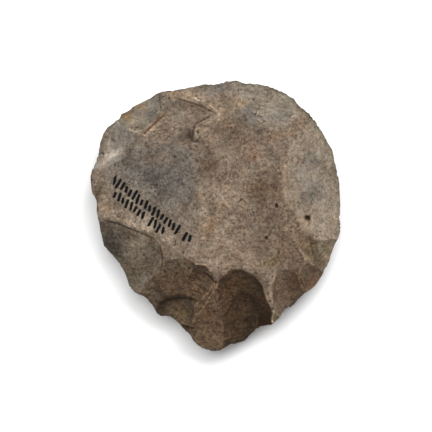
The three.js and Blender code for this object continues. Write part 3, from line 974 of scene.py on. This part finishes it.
def ink_row(start, heading, count, seed, gap):
    """Mask of one row of pen strokes. start: mm on the plan; heading: degrees; gap: a cell left empty."""
    shift = node("ShaderNodeVectorMath", operation="SUBTRACT")
    plug(shift.inputs[0], place)
    shift.inputs[1].default_value = ((start[0] - middle[0]) * MM, (start[1] - middle[1]) * MM, 0)
    turned = node("ShaderNodeVectorRotate", rotation_type="Z_AXIS")
    plug(turned.inputs["Vector"], shift.outputs[0])
    turned.inputs["Angle"].default_value = -math.radians(heading)
    parts = node("ShaderNodeSeparateXYZ")
    plug(parts.inputs[0], turned.outputs[0])
    along = maths("DIVIDE", parts.outputs[0], MM)
    up = maths("DIVIDE", parts.outputs[1], MM)

    cell = maths("FLOOR", maths("DIVIDE", along, STROKE_PITCH))
    in_cell = maths("SUBTRACT", along, maths("MULTIPLY", cell, STROKE_PITCH))
    local = maths("SUBTRACT", in_cell, STROKE_PITCH / 2)

    def chance(extra):
        made = node("ShaderNodeTexWhiteNoise", noise_dimensions="1D")
        plug(made.inputs["W"], maths("ADD", cell, seed + extra))
        return made.outputs["Value"]

    slant = spread(chance(0.3), 0, 1, *STROKE_SLANTS)
    half_height = spread(chance(40.3), 0, 1, 0.28 * STROKE_HEIGHT, 0.5 * STROKE_HEIGHT)
    lift = spread(chance(80.3), 0, 1, -STROKE_LIFT, STROKE_LIFT)
    level = maths("SUBTRACT", up, lift)
    cosine, sine = maths("COSINE", slant), maths("SINE", slant)
    side = maths("SUBTRACT", maths("MULTIPLY", local, cosine), maths("MULTIPLY", level, sine))
    rise = maths("ADD", maths("MULTIPLY", local, sine), maths("MULTIPLY", level, cosine))
    straight = maths("SUBTRACT", half_height, PEN_WIDTH / 2)
    beyond = maths("MAXIMUM", maths("SUBTRACT", maths("ABSOLUTE", rise), straight), 0.0)
    distance = maths("SQRT", maths("ADD", maths("MULTIPLY", side, side), maths("MULTIPLY", beyond, beyond)))
    distance = maths("ADD", distance, spread(clouds(0.7, 2, 0.5, seed), 0.3, 0.7, -0.08, 0.08))
    mask = spread(distance, PEN_WIDTH / 2 - PEN_SOFTNESS, PEN_WIDTH / 2 + PEN_SOFTNESS, 1, 0)
    mask = maths("MULTIPLY", mask, maths("GREATER_THAN", along, 0.0))
    mask = maths("MULTIPLY", mask, maths("LESS_THAN", cell, count - 0.5))
    mask = maths("MULTIPLY", mask, maths("SUBTRACT", 1.0, maths("COMPARE", cell, float(gap), 0.5)))
    return mask


upper_row = ink_row((-38.2, 13.8), -38, 20, 2.0, 17)
lower_row = ink_row((-38, 8.6), -37.5, 13, 9.0, 8)
ink = maths("MAXIMUM", upper_row, lower_row)
facing_up = node("ShaderNodeSeparateXYZ")
plug(facing_up.inputs[0], node("ShaderNodeNewGeometry").outputs["Normal"])
ink = maths("MULTIPLY", ink, maths("GREATER_THAN", facing_up.outputs[2], 0.0))
colour = blend("MIX", ink, colour, INK)
print("ink rows, nodes so far:", len(nodes))

# %% [markdown]
# ## Grain and sheen
# The mesh carries everything larger than a third of a millimetre. Bump adds the finer grain, which is what
# makes the stone look matt and sandy. Ink is a little smoother than the stone.

# %% Bump and shader
BUMP_DISTANCE = 0.35 * MM
MATT, LEAST_MATT = 0.9, 0.7
INK_SMOOTHER = 0.12
SHEEN_LEVEL = 0.12

grain = maths("ADD", clouds(0.5, 3, 0.7, 2.0), maths("MULTIPLY", clouds(1.2, 3, 0.6, 9.0), 1.5))
grain = maths("MULTIPLY", grain, spread(coarse, 0, 1, 0.4, 1))
bump = node("ShaderNodeBump")
bump.inputs["Strength"].default_value = 1.0
bump.inputs["Distance"].default_value = BUMP_DISTANCE
plug(bump.inputs["Height"], grain)
roughness = spread(clouds(3, 3, 0.6, 13.0), 0.3, 0.7, LEAST_MATT, MATT)
roughness = maths("SUBTRACT", roughness, maths("MULTIPLY", ink, INK_SMOOTHER))
shader = node("ShaderNodeBsdfPrincipled")
plug(shader.inputs["Base Color"], colour)
plug(shader.inputs["Roughness"], roughness)
plug(shader.inputs["Normal"], bump.outputs[0])
shader.inputs["Specular IOR Level"].default_value = SHEEN_LEVEL
wire(shader.outputs[0], node("ShaderNodeOutputMaterial").inputs["Surface"])
stone.data.materials.clear()
stone.data.materials.append(flint)
print("flint material:", len(nodes), "nodes")

# %% [markdown]
# ## The studio
# A pale floor, an even white surround and two large soft lights, both from the butt's side. The left one
# stands high. The right one is lower and a little stronger, so it draws the ridges and lays the darker part
# of the soft shadow beside the tip, on the -X side. A small hard lamp would make the shadows too sharp.

# %% Floor
FLOOR_SIZE = 3
FLOOR_DROP = 0.02 * MM  # keeps the floor from flickering through the stone's flat
PAPER = (0.9, 0.9, 0.9, 1)
PAPER_ROUGHNESS = 0.9

bpy.ops.object.select_all(action="DESELECT")
bpy.ops.mesh.primitive_plane_add(size=FLOOR_SIZE, location=(0, 0, -FLOOR_DROP))
floor = bpy.context.object
floor.name = "floor"
paper = bpy.data.materials.new("white_paper")
paper.use_nodes = True
paper_shader = paper.node_tree.nodes["Principled BSDF"]
paper_shader.inputs["Base Color"].default_value = PAPER
paper_shader.inputs["Roughness"].default_value = PAPER_ROUGHNESS
floor.data.materials.append(paper)


# %% Lights
LIGHT_DISTANCE = 1.2
SURROUND_STRENGTH = 0.38


def soft_light(name, azimuth, elevation, size, power):
    """A square light that shines at the stone. Azimuth is counted from +X towards +Y, in degrees."""
    a, e = math.radians(azimuth), math.radians(elevation)
    direction = Vector((math.cos(a) * math.cos(e), math.sin(a) * math.cos(e), math.sin(e)))
    data = bpy.data.lights.new(name, "AREA")
    data.shape = "SQUARE"
    data.size = size
    data.energy = power
    light = bpy.data.objects.new(name, data)
    light.location = direction * LIGHT_DISTANCE
    light.rotation_euler = direction.to_track_quat("Z", "Y").to_euler()
    bpy.context.scene.collection.objects.link(light)


soft_light("left_lamp", 124, 70, 0.9, 11.3)
soft_light("right_lamp", 60, 50, 0.7, 12.8)

surround = bpy.data.worlds.new("surround")
surround.use_nodes = True
surround.node_tree.nodes["Background"].inputs["Color"].default_value = (1, 1, 1, 1)
surround.node_tree.nodes["Background"].inputs["Strength"].default_value = SURROUND_STRENGTH
bpy.context.scene.world = surround
bpy.context.scene.view_settings.view_transform = "Standard"

# %% Aim the camera at the blank's middle
camera.location.x = -middle[0] * MM
camera.location.y = -middle[1] * MM
print("camera, m:", [round(c, 4) for c in camera.location])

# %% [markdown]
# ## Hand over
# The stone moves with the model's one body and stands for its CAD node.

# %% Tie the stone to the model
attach(stone, "root")
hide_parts("hand_axe")
